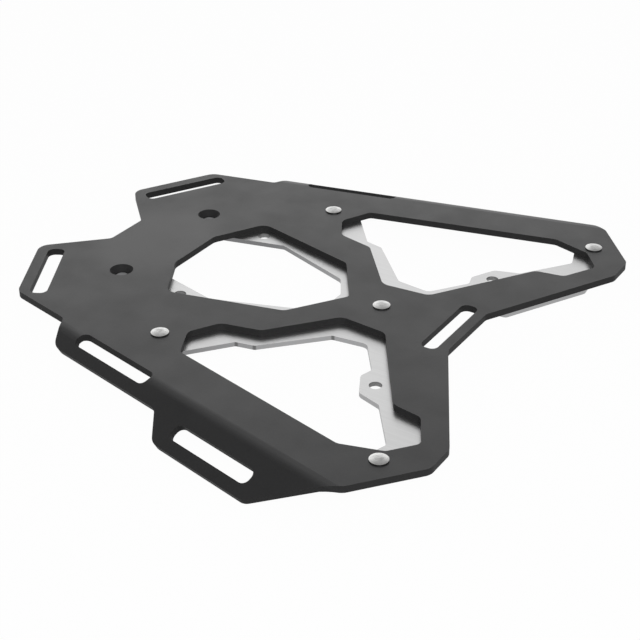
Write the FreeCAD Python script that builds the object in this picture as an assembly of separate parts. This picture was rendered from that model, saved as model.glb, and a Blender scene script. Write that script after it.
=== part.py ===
import FreeCAD, Part
import math
import os

from FreeCAD import Vector

# Motorcycle luggage rack: a black top plate with two side flanges folded down, a bare aluminium
# lower plate under it that bolts to the motorcycle, and five dome-headed rivets through both.
# Millimetres. X is to the rider's right, Y is forward, Z is up. The outlines are measured from the
# axis of the centre rivet and, upward, from the underside of the lower plate. When the pieces are
# written they move forward or back so that the origin is midway between the two rear bolt holes.
# Both plates are symmetric about X = 0, so every outline is given for the right half only.

# Sheet and fold
plate_thickness = 4.75
lower_thickness = 3.2
bend_angle = 28.0
bend_inner_radius = 12.0
bend_heading = 13.07        # the fold lines draw together towards the front, by this much each
bend_half_span = 167.2      # from the middle plane to the start of the fold, at Y = 0

# Outline of the flat part of the top plate
notch_y = 216.8
notch_half_width = 17.8
notch_radius = 5.0
lug_tip_x = 54.5
lug_tip_y = 253.4
lug_tip_radius = 9.0
lug_side_inset = 2.7        # the lug's side edge runs along the fold line, this far inside it
lug_shoulder_y = 220.7      # where that edge meets the lug's slanted front
lug_shoulder_radius = 10.0
tail_corner_x = 184.7
tail_corner_y = -83.2
tail_corner_radius = 9.0
tail_end_y = -115.8
tail_end_outer_x = 144.6
tail_end_inner_x = 122.4
tail_end_radius = 9.0
rear_lug_y = -64.4
rear_lug_half_width = 26.8
rear_lug_radius = 6.0

# Side flanges, measured on the unfolded sheet: along the fold line from where it crosses Y = 0,
# and outward from the fold line
flange_root_radius = 5.0
front_step_width = 18.7
rear_step_width = 37.2
flange_front_corner = 159.3
front_edge_run = 0.71       # run along the fold for each millimetre outward
front_step_end = 56.7
step_edge_run = 0.90
flange_rear_corner = -39.0
front_corner_radius = 12.0
step_inner_radius = 7.0
step_corner_radius = 9.5
rear_corner_radius = 9.0

# Strap slots
slot_corner_radius = 4.7
rear_slot_y = -51.4
rear_slot_length = 63.0
rear_slot_width = 11.6
lug_slot_x = 80.2
lug_slot_length = 65.0
lug_slot_width = 12.0
lug_slot_strip = 8.0        # metal left between a lug's slot and its outer edge
front_side_slot_centre = 112.8
front_side_slot_length = 70.8
front_side_slot_width = 11.7
front_side_slot_strip = 8.4
rear_side_slot_centre = 0.0
rear_side_slot_length = 68.0
rear_side_slot_width = 10.8
rear_side_slot_strip = 8.1

# Openings in the top plate
centre_front_y = 154.7
centre_front_half_width = 23.3
centre_front_radius = 9.0
centre_side = (60.2, 134.3)
centre_side_radius = 8.5
centre_shoulder = (39.9, 51.8)
centre_shoulder_radius = 7.0
centre_rear_y = 24.9
centre_rear_radius = 4.0
# Each corner of the right side opening, in order round it, with its radius
side_opening = (
    (118.8, 78.6, 5.0),
    (151.8, -58.3, 8.0),
    (143.8, -85.9, 6.0),
    (126.5, -99.7, 5.0),
    (102.9, -86.3, 6.0),
    (99.6, -66.1, 7.0),
    (29.5, -19.8, 8.0),
    (26.6, 14.6, 9.0),
    (69.5, 50.0, 6.0),
    (75.6, 77.7, 9.0),
    (96.0, 89.6, 8.0),
)

# Lower plate
lower_rear_inset = 0.7      # its rear edge lies this far inside the top plate's
lower_rear_inner_x = 42.1
lower_rear_outer_x = 101.0
lower_slot_margin = 7.0     # kept clear round the rear strap slot
lower_arm = (
    (120.7, 90.1, 10.0),
    (84.0, 60.5, 2.5),
    (81.3, 47.2, 2.5),
    (43.9, 11.6, 2.5),
    (41.0, -13.1, 6.0),
    (66.5, -31.7, 4.0),
    (75.9, -28.9, 5.0),
    (93.2, -38.1, 6.0),
    (98.5, -55.3, 4.0),
    (132.1, -80.1, 4.0),
)
lower_front_end_y = 197.0
lower_front_outer_x = 72.0
lower_front_radius = 10.0
lower_leg_inner_run = 0.243   # the leg's inner edge draws inward by this much for each millimetre
lower_centre = (
    (46.3, 108.6, 4.0),
    (25.0, 47.3, 6.0),
    (6.2, 35.9, 3.0),
)
front_rivet_land = 11.6     # metal of the lower plate kept round a rivet
rear_rivet_land = 11.0

# Rivets
rivet_shank_diameter = 6.4
rivet_fit = 0.1             # the hole is larger than the shank by this much
rivet_head_diameter = 11.8
rivet_head_height = 1.7
rivet_head_rim = 0.8        # upright side of the head, under its shallow dome
rivet_tail_diameter = 10.0
rivet_tail_height = 1.8
rivet_front = (106.9, 103.8)
rivet_rear = (153.2, -87.1)

# Bolt holes
screw_hole_x = 52.0
screw_hole_y = 179.9
screw_hole_diameter = 9.0
countersink_diameter = 16.5
countersink_angle = 90.0
front_bolt = (51.4, 129.6)
rear_bolt = (80.7, -42.6)
bolt_hole_diameter = 8.4

reach = 40.0                # how far cutting tools run past the faces they cut
skin = 3.0                  # the same for a tool that follows the fold

os.makedirs("parts", exist_ok=True)

plate_underside = lower_thickness
plate_top = plate_underside + plate_thickness
fold = math.radians(bend_angle)
bend_outer_radius = bend_inner_radius + plate_thickness
arc_length = bend_outer_radius * fold
heading = math.radians(bend_heading)

along = Vector(-math.sin(heading), math.cos(heading), 0)    # forward along the right fold line
outward = Vector(math.cos(heading), math.sin(heading), 0)   # square to it, away from the middle
up = Vector(0, 0, 1)
fold_origin = Vector(bend_half_span, 0, plate_top)


def sheet_point(s, e):
    """A point of the top face, s along the right fold line and e outward on the unfolded sheet."""
    if e <= 0:
        return fold_origin + along * s + outward * e
    turn = min(e / bend_outer_radius, fold)
    rest = e - bend_outer_radius * turn
    point = fold_origin + along * s + outward * (bend_outer_radius * math.sin(turn))
    point = point - up * (bend_outer_radius * (1 - math.cos(turn)))
    return point + (outward * math.cos(turn) - up * math.sin(turn)) * rest


def sheet_normal(e):
    """The outward normal of the top face at e."""
    turn = min(max(e / bend_outer_radius, 0), fold)
    return outward * math.sin(turn) + up * math.cos(turn)


def rounded_wire(corners, place):
    """A closed wire through (u, v, radius) corners, each rounded by its radius, put in space by place."""
    count = len(corners)
    starts = []
    arcs = []
    for i in range(count):
        u, v, radius = corners[i]
        before = corners[i - 1]
        after = corners[(i + 1) % count]
        a = Vector(before[0] - u, before[1] - v, 0)
        b = Vector(after[0] - u, after[1] - v, 0)
        a.normalize()
        b.normalize()
        corner = Vector(u, v, 0)
        if radius <= 0:
            starts.append((corner, corner))
            arcs.append(None)
            continue
        half = a.getAngle(b) / 2
        setback = radius / math.tan(half)
        middle = a + b
        middle.normalize()
        centre = corner + middle * (radius / math.sin(half))
        starts.append((corner + a * setback, corner + b * setback))
        arcs.append(centre - middle * radius)
    edges = []
    for i in range(count):
        entry, leave = starts[i]
        following = starts[(i + 1) % count][0]
        if arcs[i] is not None:
            edges.append(Part.Arc(place(entry), place(arcs[i]), place(leave)).toShape())
        if leave.distanceToPoint(following) > 1e-4:
            edges.append(Part.LineSegment(place(leave), place(following)).toShape())
    return Part.Wire(edges)


def plan(height):
    """Puts plan points (x, y) at a height."""
    return lambda point: Vector(point.x, point.y, height)


def prism(corners, low, high):
    """An upright prism on a rounded plan outline."""
    face = Part.Face(rounded_wire(corners, plan(low)))
    return face.extrude(up * (high - low))


def mirrored(shape):
    """The left-hand copy of a right-hand shape."""
    return shape.mirror(Vector(0, 0, 0), Vector(1, 0, 0))


def both_sides(half_outline):
    """A closed plan outline from its right half, given from front to rear."""
    left_half = [(-x, y, radius) for x, y, radius in reversed(half_outline) if x > 0]
    return list(half_outline) + left_half


def slot_corners(length, width, radius):
    """A straight slot with rounded corners, its length along the first axis."""
    u = length / 2
    v = width / 2
    limit = min(radius, v * 0.98)
    return [(-u, -v, limit), (u, -v, limit), (u, v, limit), (-u, v, limit)]


def slot_tool(centre, direction, normal, length, width):
    """A cutting tool for a strap slot, square to the sheet at its centre."""
    side = normal.cross(direction)
    base = centre - normal * reach
    wire = rounded_wire(slot_corners(length, width, slot_corner_radius),
                        lambda point: base + direction * point.x + side * point.y)
    return Part.Face(wire).extrude(normal * (2 * reach))


def folded_slot_tool(centre_s, centre_e, length, width):
    """A cutting tool for a strap slot on or beside the right fold, square to the sheet everywhere,
    as if the slot had been cut before the sheet was folded."""
    radius = slot_corner_radius
    inner = centre_e - width / 2
    outer = centre_e + width / 2

    def half_length(e):
        into_corner = max(inner + radius - e, e - (outer - radius), 0)
        return length / 2 - radius + math.sqrt(radius * radius - into_corner * into_corner)

    def flat_piece(limit, side):
        """The part of the slot on the flat sheet, on one side of the fold line at e = limit."""
        normal = sheet_normal(limit)
        across = along.cross(normal)
        base = sheet_point(centre_s, limit) + normal * skin
        corners = [(u, v + centre_e - limit, r) for u, v, r in slot_corners(length, width, radius)]
        kept = [(-length, 0, 0), (length, 0, 0), (length, side * length, 0), (-length, side * length, 0)]

        def place(point):
            return base + along * point.x + across * point.y

        slot = Part.Face(rounded_wire(corners, place))
        half = Part.Face(rounded_wire(kept, place))
        return slot.common(half).extrude(normal * -(plate_thickness + 2 * skin))

    pieces = []
    low = max(inner, 0)
    high = min(outer, arc_length)
    if low < high:
        sections = []
        steps = 8
        for i in range(steps + 1):
            e = low + (high - low) * i / steps
            over = sheet_normal(e) * skin
            depth = sheet_normal(e) * (plate_thickness + skin)
            front = sheet_point(centre_s + half_length(e), e)
            rear = sheet_point(centre_s - half_length(e), e)
            around = [rear + over, front + over, front - depth, rear - depth, rear + over]
            sections.append(Part.makePolygon(around))
        pieces.append(Part.makeLoft(sections, True, False))
    if inner < 0:
        pieces.append(flat_piece(0, -1))
    if outer > arc_length:
        pieces.append(flat_piece(arc_length, 1))
    return pieces[0].fuse(pieces[1:]) if len(pieces) > 1 else pieces[0]


# The front and rear edges of the flange are straight on the unfolded sheet and cross the fold.
# The front edge starts in the root corner beside the lug, the rear edge in the tail corner.
def flat_xy(s, e):
    """Plan place of a point on the flat side of the fold."""
    point = fold_origin + along * s + outward * e
    return (point.x, point.y)


def fold_sheet(x, y):
    """Unfolded place (s, e) of a plan point on the flat side of the fold."""
    offset = Vector(x - bend_half_span, y, 0)
    return (offset.dot(along), offset.dot(outward))


def front_edge_s(e):
    return flange_front_corner + (front_step_width - e) * front_edge_run


def rear_edge_s(e):
    share = (e - tail_corner_e) / (rear_step_width - tail_corner_e)
    return tail_corner_s + (flange_rear_corner - tail_corner_s) * share


tail_corner_s, tail_corner_e = fold_sheet(tail_corner_x, tail_corner_y)
root_s = front_edge_s(-lug_side_inset)
root_x, root_y = flat_xy(root_s, -lug_side_inset)
shoulder_s = (lug_shoulder_y + lug_side_inset * math.sin(heading)) / math.cos(heading)
shoulder_x = flat_xy(shoulder_s, -lug_side_inset)[0]


def flat_outline():
    """The top plate up to its fold lines."""
    front = flat_xy(front_edge_s(0), 0)
    rear = flat_xy(rear_edge_s(0), 0)
    half = [
        (notch_half_width, notch_y, notch_radius),
        (lug_tip_x, lug_tip_y, lug_tip_radius),
        (shoulder_x, lug_shoulder_y, lug_shoulder_radius),
        (root_x, root_y, flange_root_radius),
        (front[0], front[1], 0),
        (rear[0], rear[1], 0),
        (tail_corner_x, tail_corner_y, tail_corner_radius),
        (tail_end_outer_x, tail_end_y, tail_end_radius),
        (tail_end_inner_x, tail_end_y, tail_end_radius),
        (rear_lug_half_width, rear_lug_y, rear_lug_radius),
    ]
    return both_sides(half)


def fold_zone():
    """The curved strip of sheet between the flat and the right flange."""
    sections = []
    steps = 6
    for i in range(steps + 1):
        e = arc_length * i / steps
        depth = sheet_normal(e) * plate_thickness
        front = sheet_point(front_edge_s(e), e)
        rear = sheet_point(rear_edge_s(e), e)
        sections.append(Part.makePolygon([rear, front, front - depth, rear - depth, rear]))
    return Part.makeLoft(sections, True, False)


def flange():
    """The right flange beyond the fold."""
    corners = [
        (front_edge_s(arc_length), arc_length, 0),
        (flange_front_corner, front_step_width, front_corner_radius),
        (front_step_end, front_step_width, step_inner_radius),
        (front_step_end - (rear_step_width - front_step_width) * step_edge_run, rear_step_width,
         step_corner_radius),
        (flange_rear_corner, rear_step_width, rear_corner_radius),
        (rear_edge_s(arc_length), arc_length, 0),
    ]
    wire = rounded_wire(corners, lambda point: sheet_point(point.x, point.y))
    return Part.Face(wire).extrude(sheet_normal(arc_length) * -plate_thickness)


def centre_opening():
    half = [
        (centre_front_half_width, centre_front_y, centre_front_radius),
        (centre_side[0], centre_side[1], centre_side_radius),
        (centre_shoulder[0], centre_shoulder[1], centre_shoulder_radius),
        (0, centre_rear_y, centre_rear_radius),
    ]
    return both_sides(half)


def strap_slots():
    """Cutting tools for the seven strap slots."""
    rear_centre = Vector(0, rear_slot_y, plate_top)
    tools = [slot_tool(rear_centre, Vector(1, 0, 0), up, rear_slot_length, rear_slot_width)]
    edge = Vector(shoulder_x - lug_tip_x, lug_shoulder_y - lug_tip_y, 0)
    edge.normalize()
    inward = Vector(edge.y, -edge.x, 0)
    on_edge = Vector(lug_tip_x, lug_tip_y, plate_top)
    inset = lug_slot_strip + lug_slot_width / 2
    run = (lug_slot_x - lug_tip_x - inward.x * inset) / edge.x
    lug_centre = on_edge + edge * run + inward * inset
    sides = [slot_tool(lug_centre, edge, up, lug_slot_length, lug_slot_width)]
    e = front_step_width - front_side_slot_strip - front_side_slot_width / 2
    sides.append(folded_slot_tool(front_side_slot_centre, e, front_side_slot_length, front_side_slot_width))
    e = rear_step_width - rear_side_slot_strip - rear_side_slot_width / 2
    sides.append(slot_tool(sheet_point(rear_side_slot_centre, e), along, sheet_normal(e),
                           rear_side_slot_length, rear_side_slot_width))
    return tools + sides + [mirrored(tool) for tool in sides]


def hole(x, y, diameter):
    """A cutting tool for an upright round hole through both plates."""
    return Part.makeCylinder(diameter / 2, 2 * reach, Vector(x, y, -reach), up)


def countersink(x, y):
    """A cutting tool for a countersunk screw hole through the top plate."""
    depth = (countersink_diameter - screw_hole_diameter) / 2 / math.tan(math.radians(countersink_angle / 2))
    over = 1.0
    wide = countersink_diameter / 2 + over * math.tan(math.radians(countersink_angle / 2))
    cone = Part.makeCone(screw_hole_diameter / 2, wide, depth + over, Vector(x, y, plate_top - depth), up)
    return cone.fuse(hole(x, y, screw_hole_diameter))


def rivet_places():
    return {
        "rivet_centre": (0, 0),
        "rivet_front_right": rivet_front,
        "rivet_front_left": (-rivet_front[0], rivet_front[1]),
        "rivet_rear_right": rivet_rear,
        "rivet_rear_left": (-rivet_rear[0], rivet_rear[1]),
    }


def make_top_plate():
    """One folded sheet: the flat, two folds and two flanges, then its openings and holes."""
    flat = prism(flat_outline(), plate_underside, plate_top)
    right = [fold_zone(), flange()]
    sheet = flat.fuse(right + [mirrored(piece) for piece in right]).removeSplitter()
    tools = strap_slots()
    tools.append(prism(centre_opening(), -reach, reach))
    side = prism(list(side_opening), -reach, reach)
    tools += [side, mirrored(side)]
    for x, y in rivet_places().values():
        tools.append(hole(x, y, rivet_shank_diameter + rivet_fit))
    for x in (screw_hole_x, -screw_hole_x):
        tools.append(countersink(x, screw_hole_y))
    return sheet.cut(tools)


def lower_outline():
    """The lower plate: two front legs, a hub round the centre rivet and two rear arms."""
    slope = ((tail_end_inner_x - rear_lug_half_width), (tail_end_y - rear_lug_y))
    length = math.hypot(*slope)
    lift = lower_rear_inset * length / slope[0]

    def rear_edge(x):
        return rear_lug_y + lift + (x - rear_lug_half_width) * slope[1] / slope[0]

    notch_x = rear_slot_length / 2 + lower_slot_margin
    notch = rear_slot_y + rear_slot_width / 2 + lower_slot_margin
    inner_x, inner_y, inner_radius = lower_centre[0]
    leg_x = inner_x - (lower_front_end_y - inner_y) * lower_leg_inner_run
    fx, fy = rivet_front
    rx, ry = rivet_rear
    half = [
        (lower_centre[2][0], lower_centre[2][1], lower_centre[2][2]),
        lower_centre[1],
        lower_centre[0],
        (leg_x, lower_front_end_y, lower_front_radius),
        (lower_front_outer_x, lower_front_end_y, lower_front_radius),
        (fx + front_rivet_land, fy + front_rivet_land, lower_front_radius),
    ]
    half += list(lower_arm)
    half += [
        (rx + rear_rivet_land * 0.5, ry + rear_rivet_land * 1.45, 8.0),
        (rx + rear_rivet_land, ry, 8.0),
        (rx, ry - rear_rivet_land, 8.0),
        (lower_rear_outer_x, rear_edge(lower_rear_outer_x), 5.0),
        (lower_rear_inner_x, rear_edge(lower_rear_inner_x), 3.0),
        (notch_x, notch, 6.0),
    ]
    return both_sides(half)


def make_lower_plate():
    plate = prism(lower_outline(), 0, lower_thickness)
    tools = []
    for x, y in rivet_places().values():
        tools.append(hole(x, y, rivet_shank_diameter + rivet_fit))
    for side in (1, -1):
        tools.append(hole(side * screw_hole_x, screw_hole_y, screw_hole_diameter))
        tools.append(hole(side * front_bolt[0], front_bolt[1], bolt_hole_diameter))
        tools.append(hole(side * rear_bolt[0], rear_bolt[1], bolt_hole_diameter))
    return plate.cut(tools)


def make_rivet():
    """A solid rivet: a low head under a shallow dome, the shank, and a closed tail."""
    head = rivet_head_diameter / 2
    rise = rivet_head_height - rivet_head_rim
    ball_radius = (head * head + rise * rise) / (2 * rise)
    middle = Vector(0, 0, plate_top + rivet_head_height - ball_radius)
    ball = Part.makeSphere(ball_radius, middle, Vector(-1, 0, 0), -90, 90, 360)
    blank = Part.makeCylinder(head, rivet_head_height, Vector(0, 0, plate_top), up)
    shank = Part.makeCylinder(rivet_shank_diameter / 2, plate_top, Vector(0, 0, 0), up)
    tail = Part.makeCylinder(rivet_tail_diameter / 2, rivet_tail_height, Vector(0, 0, -rivet_tail_height), up)
    return blank.common(ball).fuse([shank, tail]).removeSplitter()


def write(shape, name):
    """Moves a piece to the origin of the whole rack and writes it."""
    placed = shape.copy()
    placed.translate(Vector(0, -rear_bolt[1], 0))
    placed.exportStep("parts/" + name + ".step")


write(make_top_plate(), "top_plate")
write(make_lower_plate(), "lower_plate")
rivet = make_rivet()
for name, (x, y) in rivet_places().items():
    placed = rivet.copy()
    placed.translate(Vector(x, y, 0))
    write(placed, name)
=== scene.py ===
import math

import bpy
from mathutils import Matrix, Vector


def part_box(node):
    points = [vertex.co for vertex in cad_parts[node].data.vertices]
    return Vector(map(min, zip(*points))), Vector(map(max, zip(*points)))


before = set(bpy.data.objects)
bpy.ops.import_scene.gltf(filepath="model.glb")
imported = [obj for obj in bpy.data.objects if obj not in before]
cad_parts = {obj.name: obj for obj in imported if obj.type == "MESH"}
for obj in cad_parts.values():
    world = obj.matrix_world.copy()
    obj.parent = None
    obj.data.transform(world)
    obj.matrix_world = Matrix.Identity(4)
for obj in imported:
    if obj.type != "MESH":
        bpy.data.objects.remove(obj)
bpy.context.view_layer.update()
bpy.ops.object.select_all(action="DESELECT")


# Camera. The rack is seen from its left, behind and above, from about a metre away, through a long
# lens. The place and the three turns were solved from the mirror symmetry of the plate.
plate_top_height = 0.00795
view_azimuth = math.radians(-57.742)
view_elevation = math.radians(30.130)
view_roll = math.radians(-0.124)
view_back = Vector((
    math.sin(view_azimuth) * math.cos(view_elevation),
    -math.cos(view_azimuth) * math.cos(view_elevation),
    math.sin(view_elevation),
))
level_right = Vector((math.cos(view_azimuth), math.sin(view_azimuth), 0.0))
level_up = view_back.cross(level_right)
view_right = level_right * math.cos(view_roll) + level_up * math.sin(view_roll)
view_up = level_up * math.cos(view_roll) - level_right * math.sin(view_roll)
looked_at = Vector((0.0, 0.067, plate_top_height))
camera_distance = 0.980
camera_left = 0.02048
camera_down = 0.01603
camera_place = looked_at + view_back * camera_distance - view_right * camera_left - view_up * camera_down

camera_data = bpy.data.cameras.new("camera")
camera_data.sensor_width = 36.0
camera_data.lens = 81.53
camera_data.clip_start = 0.05
camera_data.clip_end = 50.0
camera = bpy.data.objects.new("camera", camera_data)
camera_turn = Matrix((view_right, view_up, view_back)).transposed()
camera.matrix_world = Matrix.Translation(camera_place) @ camera_turn.to_4x4()
bpy.context.scene.collection.objects.link(camera)
bpy.context.scene.camera = camera
bpy.context.scene.view_settings.view_transform = "Standard"


# Studio. A white floor that the folded sides stand on, and a dim room with one wide bright wall on
# the far side from the camera. A large soft lamp behind the camera lifts the floor and the cut edges.
floor_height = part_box("top_plate")[0].z - 0.0002
bpy.ops.mesh.primitive_plane_add(size=12.0, location=(0.0, 0.0, floor_height))
floor = bpy.context.object
floor.name = "floor"

floor_paint = bpy.data.materials.new("floor_paint")
floor_paint.use_nodes = True
nodes = floor_paint.node_tree.nodes
links = floor_paint.node_tree.links
nodes.clear()
floor_out = nodes.new("ShaderNodeOutputMaterial")
floor_matte = nodes.new("ShaderNodeBsdfDiffuse")
floor_matte.inputs["Color"].default_value = (0.8, 0.8, 0.8, 1.0)
floor_glow = nodes.new("ShaderNodeEmission")
floor_glow.inputs["Color"].default_value = (1.0, 1.0, 1.0, 1.0)
floor_glow.inputs["Strength"].default_value = 1.0
floor_path = nodes.new("ShaderNodeLightPath")
floor_mirrored = nodes.new("ShaderNodeMath")
floor_mirrored.operation = "MAXIMUM"
floor_mirror_share = nodes.new("ShaderNodeMath")
floor_mirror_share.operation = "MULTIPLY"
floor_mirror_share.inputs[1].default_value = 0.72
floor_seen = nodes.new("ShaderNodeMath")
floor_seen.operation = "MAXIMUM"
floor_share = nodes.new("ShaderNodeMath")
floor_share.operation = "MULTIPLY"
floor_share.inputs[1].default_value = 0.975
floor_mix = nodes.new("ShaderNodeMixShader")
links.new(floor_path.outputs["Is Glossy Ray"], floor_mirrored.inputs[0])
links.new(floor_path.outputs["Is Transmission Ray"], floor_mirrored.inputs[1])
links.new(floor_path.outputs["Is Camera Ray"], floor_seen.inputs[0])
links.new(floor_mirrored.outputs["Value"], floor_mirror_share.inputs[0])
links.new(floor_mirror_share.outputs["Value"], floor_seen.inputs[1])
links.new(floor_seen.outputs["Value"], floor_share.inputs[0])
links.new(floor_share.outputs["Value"], floor_mix.inputs["Fac"])
links.new(floor_matte.outputs["BSDF"], floor_mix.inputs[1])
links.new(floor_glow.outputs["Emission"], floor_mix.inputs[2])
links.new(floor_mix.outputs["Shader"], floor_out.inputs["Surface"])
floor.data.materials.append(floor_paint)

room = bpy.data.worlds.new("room")
bpy.context.scene.world = room
room.use_nodes = True
nodes = room.node_tree.nodes
links = room.node_tree.links
nodes.clear()
room_out = nodes.new("ShaderNodeOutputWorld")
room_walls = nodes.new("ShaderNodeBackground")
room_walls.inputs["Strength"].default_value = 1.38
room_way = nodes.new("ShaderNodeTexCoord")
room_facing = nodes.new("ShaderNodeVectorMath")
room_facing.operation = "DOT_PRODUCT"
room_facing.inputs[1].default_value = (0.749, 0.629, 0.208)
room_shade = nodes.new("ShaderNodeValToRGB")
room_shade.color_ramp.interpolation = "B_SPLINE"
room_shade.color_ramp.elements[0].position = 0.0
room_shade.color_ramp.elements[0].color = (0.22, 0.22, 0.22, 1.0)
room_shade.color_ramp.elements[1].position = 1.0
room_shade.color_ramp.elements[1].color = (1.0, 1.0, 1.0, 1.0)
for place, tone in ((0.60, 0.16), (0.74, 0.20), (0.88, 0.90)):
    stop = room_shade.color_ramp.elements.new(place)
    stop.color = (tone, tone, tone, 1.0)
links.new(room_way.outputs["Generated"], room_facing.inputs[0])
links.new(room_facing.outputs["Value"], room_shade.inputs["Fac"])
links.new(room_shade.outputs["Color"], room_walls.inputs["Color"])
links.new(room_walls.outputs["Background"], room_out.inputs["Surface"])

lamp_data = bpy.data.lights.new("soft_lamp", "AREA")
lamp_data.shape = "DISK"
lamp_data.size = 0.9
lamp_data.energy = 16.0
lamp = bpy.data.objects.new("soft_lamp", lamp_data)
lamp_place = Vector((-1.1, -0.8, 1.2))
lamp_aim = Vector((0.0, 0.1, 0.0))
lamp.location = lamp_place
lamp.rotation_euler = (lamp_aim - lamp_place).to_track_quat("-Z", "Y").to_euler()
bpy.context.scene.collection.objects.link(lamp)


# Top plate. Thick aluminium plate, laser cut, its sides folded down on a press, then powder coated
# satin black all over. The coat has a fine orange peel and a faint unevenness of sheen.
coat_effect = bpy.data.node_groups.new("coat_effect", "ShaderNodeTree")
for name, way, kind in (
    ("Place", "INPUT", "NodeSocketVector"),
    ("Dark", "INPUT", "NodeSocketColor"),
    ("Pale", "INPUT", "NodeSocketColor"),
    ("Colour", "OUTPUT", "NodeSocketColor"),
    ("Roughness", "OUTPUT", "NodeSocketFloat"),
    ("Cloud", "OUTPUT", "NodeSocketFloat"),
    ("Normal", "OUTPUT", "NodeSocketVector"),
):
    coat_effect.interface.new_socket(name, in_out=way, socket_type=kind)
nodes = coat_effect.nodes
links = coat_effect.links
coat_in = nodes.new("NodeGroupInput")
coat_out = nodes.new("NodeGroupOutput")

coat_cloud = nodes.new("ShaderNodeTexNoise")
coat_cloud.inputs["Scale"].default_value = 45.0
coat_cloud.inputs["Detail"].default_value = 3.0
coat_tone = nodes.new("ShaderNodeMapRange")
coat_tone.inputs["From Min"].default_value = 0.3
coat_tone.inputs["From Max"].default_value = 0.7
coat_tone.inputs["To Min"].default_value = 0.36
coat_tone.inputs["To Max"].default_value = 0.44
links.new(coat_in.outputs["Place"], coat_cloud.inputs["Vector"])
links.new(coat_cloud.outputs["Fac"], coat_tone.inputs["Value"])
links.new(coat_cloud.outputs["Fac"], coat_out.inputs["Cloud"])
links.new(coat_tone.outputs["Result"], coat_out.inputs["Roughness"])

coat_speck = nodes.new("ShaderNodeTexNoise")
coat_speck.inputs["Scale"].default_value = 700.0
coat_speck.inputs["Detail"].default_value = 2.0
coat_colour = nodes.new("ShaderNodeMix")
coat_colour.data_type = "RGBA"
links.new(coat_in.outputs["Place"], coat_speck.inputs["Vector"])
links.new(coat_speck.outputs["Fac"], coat_colour.inputs[0])
links.new(coat_in.outputs["Dark"], coat_colour.inputs[6])
links.new(coat_in.outputs["Pale"], coat_colour.inputs[7])
links.new(coat_colour.outputs[2], coat_out.inputs["Colour"])

coat_peel = nodes.new("ShaderNodeTexNoise")
coat_peel.inputs["Scale"].default_value = 900.0
coat_peel.inputs["Detail"].default_value = 2.0
coat_bump = nodes.new("ShaderNodeBump")
coat_bump.inputs["Strength"].default_value = 0.25
coat_bump.inputs["Distance"].default_value = 0.00006
links.new(coat_in.outputs["Place"], coat_peel.inputs["Vector"])
links.new(coat_peel.outputs["Fac"], coat_bump.inputs["Height"])
links.new(coat_bump.outputs["Normal"], coat_out.inputs["Normal"])


def coated(name, gloss, dark, pale):
    """Gives the top plate one more material with the coat's effect, in its own gloss and two tones."""
    material = bpy.data.materials.new(name)
    material.use_nodes = True
    nodes = material.node_tree.nodes
    links = material.node_tree.links
    coat = nodes["Principled BSDF"]
    coat.inputs["IOR"].default_value = 1.5
    coat.inputs["Specular IOR Level"].default_value = gloss
    place = nodes.new("ShaderNodeTexCoord")
    place.name = "coat_place"
    effect = nodes.new("ShaderNodeGroup")
    effect.name = "coat_effect"
    effect.node_tree = coat_effect
    effect.inputs["Dark"].default_value = dark
    effect.inputs["Pale"].default_value = pale
    links.new(place.outputs["Object"], effect.inputs["Place"])
    links.new(effect.outputs["Colour"], coat.inputs["Base Color"])
    links.new(effect.outputs["Roughness"], coat.inputs["Roughness"])
    links.new(effect.outputs["Normal"], coat.inputs["Normal"])
    top_plate.data.materials.append(material)
    return material


top_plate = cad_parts["top_plate"]
top_plate.data.materials.clear()
powder_coat = coated("powder_coat", 0.5, (0.013, 0.013, 0.0135, 1.0), (0.020, 0.020, 0.0205, 1.0))

# The coat is duller and a little paler on the cut edges and in the holes. On the edges of the folded
# sides that look down it is dullest: painted shade, so that these edges mirror less of the bright floor
# below.
edge_dark = (0.028, 0.028, 0.0285, 1.0)
edge_pale = (0.042, 0.042, 0.0425, 1.0)
coated("edge_coat", 0.05, edge_dark, edge_pale)
coated("under_coat_painted_shade", 0.018, edge_dark, edge_pale)
steepest_face = 0.75
edge_looks_down = -0.2
for facet in top_plate.data.polygons:
    if abs(facet.normal.z) < steepest_face:
        facet.material_index = 1
    if -steepest_face < facet.normal.z < edge_looks_down:
        facet.material_index = 2

# Between and just ahead of the two screws the face has a painted highlight: a faint paler patch that
# paints a reflection of the room, soft at its borders and a little cloudy.
nodes = powder_coat.node_tree.nodes
links = powder_coat.node_tree.links
face_place = nodes["coat_place"]
face_effect = nodes["coat_effect"]
painted_highlight_middle = 0.230
painted_highlight_half_width = 0.060
painted_highlight_half_length = 0.048
painted_highlight_oval = nodes.new("ShaderNodeMapping")
painted_highlight_oval.inputs["Scale"].default_value = (1 / painted_highlight_half_width, 1 / painted_highlight_half_length, 0.0)
painted_highlight_oval.inputs["Location"].default_value = (0.0, -painted_highlight_middle / painted_highlight_half_length, 0.0)
painted_highlight_reach = nodes.new("ShaderNodeVectorMath")
painted_highlight_reach.operation = "LENGTH"
painted_highlight_fall = nodes.new("ShaderNodeMapRange")
painted_highlight_fall.interpolation_type = "SMOOTHSTEP"
painted_highlight_fall.inputs["From Min"].default_value = 1.1
painted_highlight_fall.inputs["From Max"].default_value = 0.55
painted_highlight_cloud = nodes.new("ShaderNodeMapRange")
painted_highlight_cloud.inputs["From Min"].default_value = 0.3
painted_highlight_cloud.inputs["From Max"].default_value = 0.7
painted_highlight_cloud.inputs["To Min"].default_value = 0.6
painted_highlight_cloud.inputs["To Max"].default_value = 1.0
painted_highlight_share = nodes.new("ShaderNodeMath")
painted_highlight_share.operation = "MULTIPLY"
painted_highlight_colour = nodes.new("ShaderNodeMix")
painted_highlight_colour.data_type = "RGBA"
painted_highlight_colour.inputs[7].default_value = (0.062, 0.062, 0.062, 1.0)
links.new(face_place.outputs["Object"], painted_highlight_oval.inputs["Vector"])
links.new(painted_highlight_oval.outputs["Vector"], painted_highlight_reach.inputs[0])
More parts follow.
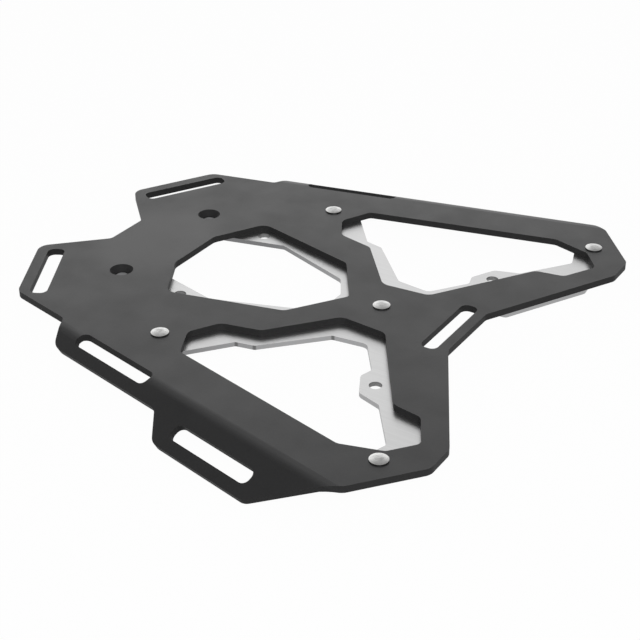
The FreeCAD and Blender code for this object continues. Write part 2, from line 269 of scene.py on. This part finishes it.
links.new(painted_highlight_reach.outputs["Value"], painted_highlight_fall.inputs["Value"])
links.new(face_effect.outputs["Cloud"], painted_highlight_cloud.inputs["Value"])
links.new(painted_highlight_fall.outputs["Result"], painted_highlight_share.inputs[0])
links.new(painted_highlight_cloud.outputs["Result"], painted_highlight_share.inputs[1])
links.new(painted_highlight_share.outputs["Value"], painted_highlight_colour.inputs[0])
links.new(face_effect.outputs["Colour"], painted_highlight_colour.inputs[6])
links.new(painted_highlight_colour.outputs[2], nodes["Principled BSDF"].inputs["Base Color"])


# Lower plate. Thinner aluminium plate, left bare: its faces keep the mill's fine lengthwise grain, and
# its laser-cut edges are duller and darker than the faces, partly from their own dull cut and partly as
# painted shade. Towards the front the edges are darker still, which is painted shade only.
bare_plate = bpy.data.materials.new("bare_plate")
bare_plate.use_nodes = True
nodes = bare_plate.node_tree.nodes
links = bare_plate.node_tree.links
metal = nodes["Principled BSDF"]
metal.inputs["Metallic"].default_value = 1.0
metal.inputs["Roughness"].default_value = 0.34
metal_place = nodes.new("ShaderNodeTexCoord")

grain_stretch = nodes.new("ShaderNodeMapping")
grain_stretch.inputs["Scale"].default_value = (1400.0, 30.0, 1400.0)
grain = nodes.new("ShaderNodeTexNoise")
grain.inputs["Scale"].default_value = 1.0
grain.inputs["Detail"].default_value = 3.0
links.new(metal_place.outputs["Object"], grain_stretch.inputs["Vector"])
links.new(grain_stretch.outputs["Vector"], grain.inputs["Vector"])

face_colour = nodes.new("ShaderNodeMix")
face_colour.data_type = "RGBA"
face_colour.inputs[6].default_value = (0.555, 0.555, 0.555, 1.0)
face_colour.inputs[7].default_value = (0.655, 0.655, 0.655, 1.0)
links.new(grain.outputs["Fac"], face_colour.inputs[0])

face_turn = nodes.new("ShaderNodeSeparateXYZ")
face_level = nodes.new("ShaderNodeMath")
face_level.operation = "ABSOLUTE"
face_share = nodes.new("ShaderNodeMath")
face_share.operation = "GREATER_THAN"
face_share.inputs[1].default_value = 0.7
links.new(metal_place.outputs["Normal"], face_turn.inputs["Vector"])
links.new(face_turn.outputs["Z"], face_level.inputs[0])
links.new(face_level.outputs["Value"], face_share.inputs[0])

# The cut edges are painted darker towards the front: painted shade.
edge_way = nodes.new("ShaderNodeSeparateXYZ")
edge_painted_shade_forward = nodes.new("ShaderNodeMapRange")
edge_painted_shade_forward.inputs["From Min"].default_value = 0.075
edge_painted_shade_forward.inputs["From Max"].default_value = 0.160
edge_tone = nodes.new("ShaderNodeMix")
edge_tone.data_type = "RGBA"
edge_tone.inputs[6].default_value = (0.43, 0.43, 0.435, 1.0)
edge_tone.inputs[7].default_value = (0.24, 0.24, 0.245, 1.0)
links.new(metal_place.outputs["Object"], edge_way.inputs["Vector"])
links.new(edge_way.outputs["Y"], edge_painted_shade_forward.inputs["Value"])
links.new(edge_painted_shade_forward.outputs["Result"], edge_tone.inputs[0])

# At three corners on each side the cut edge is darkened in a small spot.
edge_aside = nodes.new("ShaderNodeMath")
edge_aside.operation = "ABSOLUTE"
edge_plan = nodes.new("ShaderNodeCombineXYZ")
links.new(edge_way.outputs["X"], edge_aside.inputs[0])
links.new(edge_aside.outputs["Value"], edge_plan.inputs["X"])
links.new(edge_way.outputs["Y"], edge_plan.inputs["Y"])
edge_marked = edge_tone.outputs[2]
marked_corners = ((0.0836, 0.1025), (0.0815, 0.0900), (0.0436, 0.0537))
for x, y in marked_corners:
    mark_reach = nodes.new("ShaderNodeVectorMath")
    mark_reach.operation = "DISTANCE"
    mark_reach.inputs[1].default_value = (x, y, 0.0)
    mark_fall = nodes.new("ShaderNodeMapRange")
    mark_fall.interpolation_type = "SMOOTHSTEP"
    mark_fall.inputs["From Min"].default_value = 0.0018
    mark_fall.inputs["From Max"].default_value = 0.0006
    mark_tone = nodes.new("ShaderNodeMix")
    mark_tone.data_type = "RGBA"
    mark_tone.inputs[7].default_value = (0.18, 0.18, 0.18, 1.0)
    links.new(edge_plan.outputs["Vector"], mark_reach.inputs[0])
    links.new(mark_reach.outputs["Value"], mark_fall.inputs["Value"])
    links.new(mark_fall.outputs["Result"], mark_tone.inputs[0])
    links.new(edge_marked, mark_tone.inputs[6])
    edge_marked = mark_tone.outputs[2]

plate_colour = nodes.new("ShaderNodeMix")
plate_colour.data_type = "RGBA"
links.new(face_share.outputs["Value"], plate_colour.inputs[0])
links.new(edge_marked, plate_colour.inputs[6])
links.new(face_colour.outputs[2], plate_colour.inputs[7])
links.new(plate_colour.outputs[2], metal.inputs["Base Color"])

grain_bump = nodes.new("ShaderNodeBump")
grain_bump.inputs["Strength"].default_value = 0.15
grain_bump.inputs["Distance"].default_value = 0.00002
links.new(grain.outputs["Fac"], grain_bump.inputs["Height"])
links.new(grain_bump.outputs["Normal"], metal.inputs["Normal"])

lower_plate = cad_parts["lower_plate"]
lower_plate.data.materials.clear()
lower_plate.data.materials.append(bare_plate)

# The walls of the drilled bolt holes are painted dark, with a random mottle: painted shade in the holes.
bore_metal = bpy.data.materials.new("bore_metal")
bore_metal.use_nodes = True
nodes = bore_metal.node_tree.nodes
links = bore_metal.node_tree.links
bore = nodes["Principled BSDF"]
bore.inputs["Metallic"].default_value = 1.0
bore.inputs["Roughness"].default_value = 0.45
bore_place = nodes.new("ShaderNodeTexCoord")
bore_mottle = nodes.new("ShaderNodeTexNoise")
bore_mottle.inputs["Scale"].default_value = 900.0
bore_mottle.inputs["Detail"].default_value = 3.0
bore_colour = nodes.new("ShaderNodeMix")
bore_colour.data_type = "RGBA"
bore_colour.inputs[6].default_value = (0.14, 0.14, 0.14, 1.0)
bore_colour.inputs[7].default_value = (0.38, 0.38, 0.38, 1.0)
links.new(bore_place.outputs["Object"], bore_mottle.inputs["Vector"])
links.new(bore_mottle.outputs["Fac"], bore_colour.inputs[0])
links.new(bore_colour.outputs[2], bore.inputs["Base Color"])
lower_plate.data.materials.append(bore_metal)

rear_bolt_place = (0.0807, 0.0)
front_bolt_place = (0.0514, 0.1722)
bore_reach = 0.0048
bore_wall_turn = 0.3
for facet in lower_plate.data.polygons:
    if abs(facet.normal.z) < bore_wall_turn:
        for x, y in (rear_bolt_place, front_bolt_place):
            if math.hypot(abs(facet.center.x) - x, facet.center.y - y) < bore_reach:
                facet.material_index = 1


# Rivets. Solid aluminium, set from below. The set tool leaves the middle of the head duller, with faint
# rings round it. The low upright rim is painted dark: painted shade and a painted reflection of the
# black plate around it.
head_effect = bpy.data.node_groups.new("head_effect", "ShaderNodeTree")
for name, way, kind in (
    ("Place", "INPUT", "NodeSocketVector"),
    ("Place From Middle", "INPUT", "NodeSocketVector"),
    ("Dull", "INPUT", "NodeSocketColor"),
    ("Bright", "INPUT", "NodeSocketColor"),
    ("Colour", "OUTPUT", "NodeSocketColor"),
    ("Roughness", "OUTPUT", "NodeSocketFloat"),
):
    head_effect.interface.new_socket(name, in_out=way, socket_type=kind)
nodes = head_effect.nodes
links = head_effect.links
head_in = nodes.new("NodeGroupInput")
head_out = nodes.new("NodeGroupOutput")

head_cloud = nodes.new("ShaderNodeTexNoise")
head_cloud.inputs["Scale"].default_value = 420.0
head_cloud.inputs["Detail"].default_value = 4.0
links.new(head_in.outputs["Place"], head_cloud.inputs["Vector"])
head_mottle = nodes.new("ShaderNodeMapRange")
head_mottle.inputs["From Min"].default_value = 0.3
head_mottle.inputs["From Max"].default_value = 0.7
head_mottle.inputs["To Min"].default_value = -0.35
head_mottle.inputs["To Max"].default_value = 0.35
links.new(head_cloud.outputs["Fac"], head_mottle.inputs["Value"])

head_flat = nodes.new("ShaderNodeVectorMath")
head_flat.operation = "MULTIPLY"
head_flat.inputs[1].default_value = (1.0, 1.0, 0.0)
head_reach = nodes.new("ShaderNodeVectorMath")
head_reach.operation = "LENGTH"
head_spread = nodes.new("ShaderNodeMapRange")
head_spread.interpolation_type = "SMOOTHSTEP"
head_spread.inputs["From Min"].default_value = 0.0010
head_spread.inputs["From Max"].default_value = 0.0050
head_spread.inputs["To Min"].default_value = 0.20
head_spread.inputs["To Max"].default_value = 0.85
links.new(head_in.outputs["Place From Middle"], head_flat.inputs[0])
links.new(head_flat.outputs["Vector"], head_reach.inputs[0])
links.new(head_reach.outputs["Value"], head_spread.inputs["Value"])

head_rings = nodes.new("ShaderNodeTexWave")
head_rings.wave_type = "RINGS"
head_rings.rings_direction = "Z"
head_rings.inputs["Scale"].default_value = 260.0
head_rings.inputs["Distortion"].default_value = 1.5
head_rings.inputs["Detail"].default_value = 1.0
head_ring_share = nodes.new("ShaderNodeMath")
head_ring_share.operation = "MULTIPLY_ADD"
head_ring_share.inputs[1].default_value = 0.20
head_blend = nodes.new("ShaderNodeMath")
head_blend.operation = "ADD"
head_blend.use_clamp = True
links.new(head_in.outputs["Place From Middle"], head_rings.inputs["Vector"])
links.new(head_rings.outputs["Fac"], head_ring_share.inputs[0])
links.new(head_spread.outputs["Result"], head_ring_share.inputs[2])
links.new(head_ring_share.outputs["Value"], head_blend.inputs[0])
links.new(head_mottle.outputs["Result"], head_blend.inputs[1])

head_colour = nodes.new("ShaderNodeMix")
head_colour.data_type = "RGBA"
head_sheen = nodes.new("ShaderNodeMapRange")
head_sheen.inputs["To Min"].default_value = 0.46
head_sheen.inputs["To Max"].default_value = 0.36
links.new(head_blend.outputs["Value"], head_colour.inputs[0])
links.new(head_in.outputs["Dull"], head_colour.inputs[6])
links.new(head_in.outputs["Bright"], head_colour.inputs[7])
links.new(head_blend.outputs["Value"], head_sheen.inputs["Value"])
links.new(head_colour.outputs[2], head_out.inputs["Colour"])
links.new(head_sheen.outputs["Result"], head_out.inputs["Roughness"])


def rivet_metal(name, middle_x, middle_y, dull, bright):
    """Aluminium with the head's effect centred on that middle, in its own two tones."""
    material = bpy.data.materials.new(name)
    material.use_nodes = True
    nodes = material.node_tree.nodes
    links = material.node_tree.links
    head = nodes["Principled BSDF"]
    head.inputs["Metallic"].default_value = 1.0
    place = nodes.new("ShaderNodeTexCoord")
    centre = nodes.new("ShaderNodeMapping")
    centre.inputs["Location"].default_value = (-middle_x, -middle_y, 0.0)
    effect = nodes.new("ShaderNodeGroup")
    effect.node_tree = head_effect
    effect.inputs["Dull"].default_value = dull
    effect.inputs["Bright"].default_value = bright
    links.new(place.outputs["Object"], centre.inputs["Vector"])
    links.new(place.outputs["Object"], effect.inputs["Place"])
    links.new(centre.outputs["Vector"], effect.inputs["Place From Middle"])
    links.new(effect.outputs["Colour"], head.inputs["Base Color"])
    links.new(effect.outputs["Roughness"], head.inputs["Roughness"])
    return material


head_dull = (0.44, 0.44, 0.435, 1.0)
head_bright = (0.72, 0.72, 0.71, 1.0)
# The rim's dark tones are painted shade and a painted reflection of the black plate.
rim_metal = rivet_metal("rivet_rim_metal", 0.0, 0.0, (0.06, 0.06, 0.06, 1.0), (0.14, 0.14, 0.14, 1.0))

rivet_names = (
    "rivet_front_left", "rivet_front_right", "rivet_centre", "rivet_rear_left", "rivet_rear_right",
)
rim_turn = 0.3
for name in rivet_names:
    low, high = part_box(name)
    middle = (low + high) / 2
    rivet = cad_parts[name]
    rivet.data.materials.clear()
    rivet.data.materials.append(rivet_metal(name + "_metal", middle.x, middle.y, head_dull, head_bright))
    rivet.data.materials.append(rim_metal)
    for facet in rivet.data.polygons:
        if abs(facet.normal.z) < rim_turn:
            facet.material_index = 1
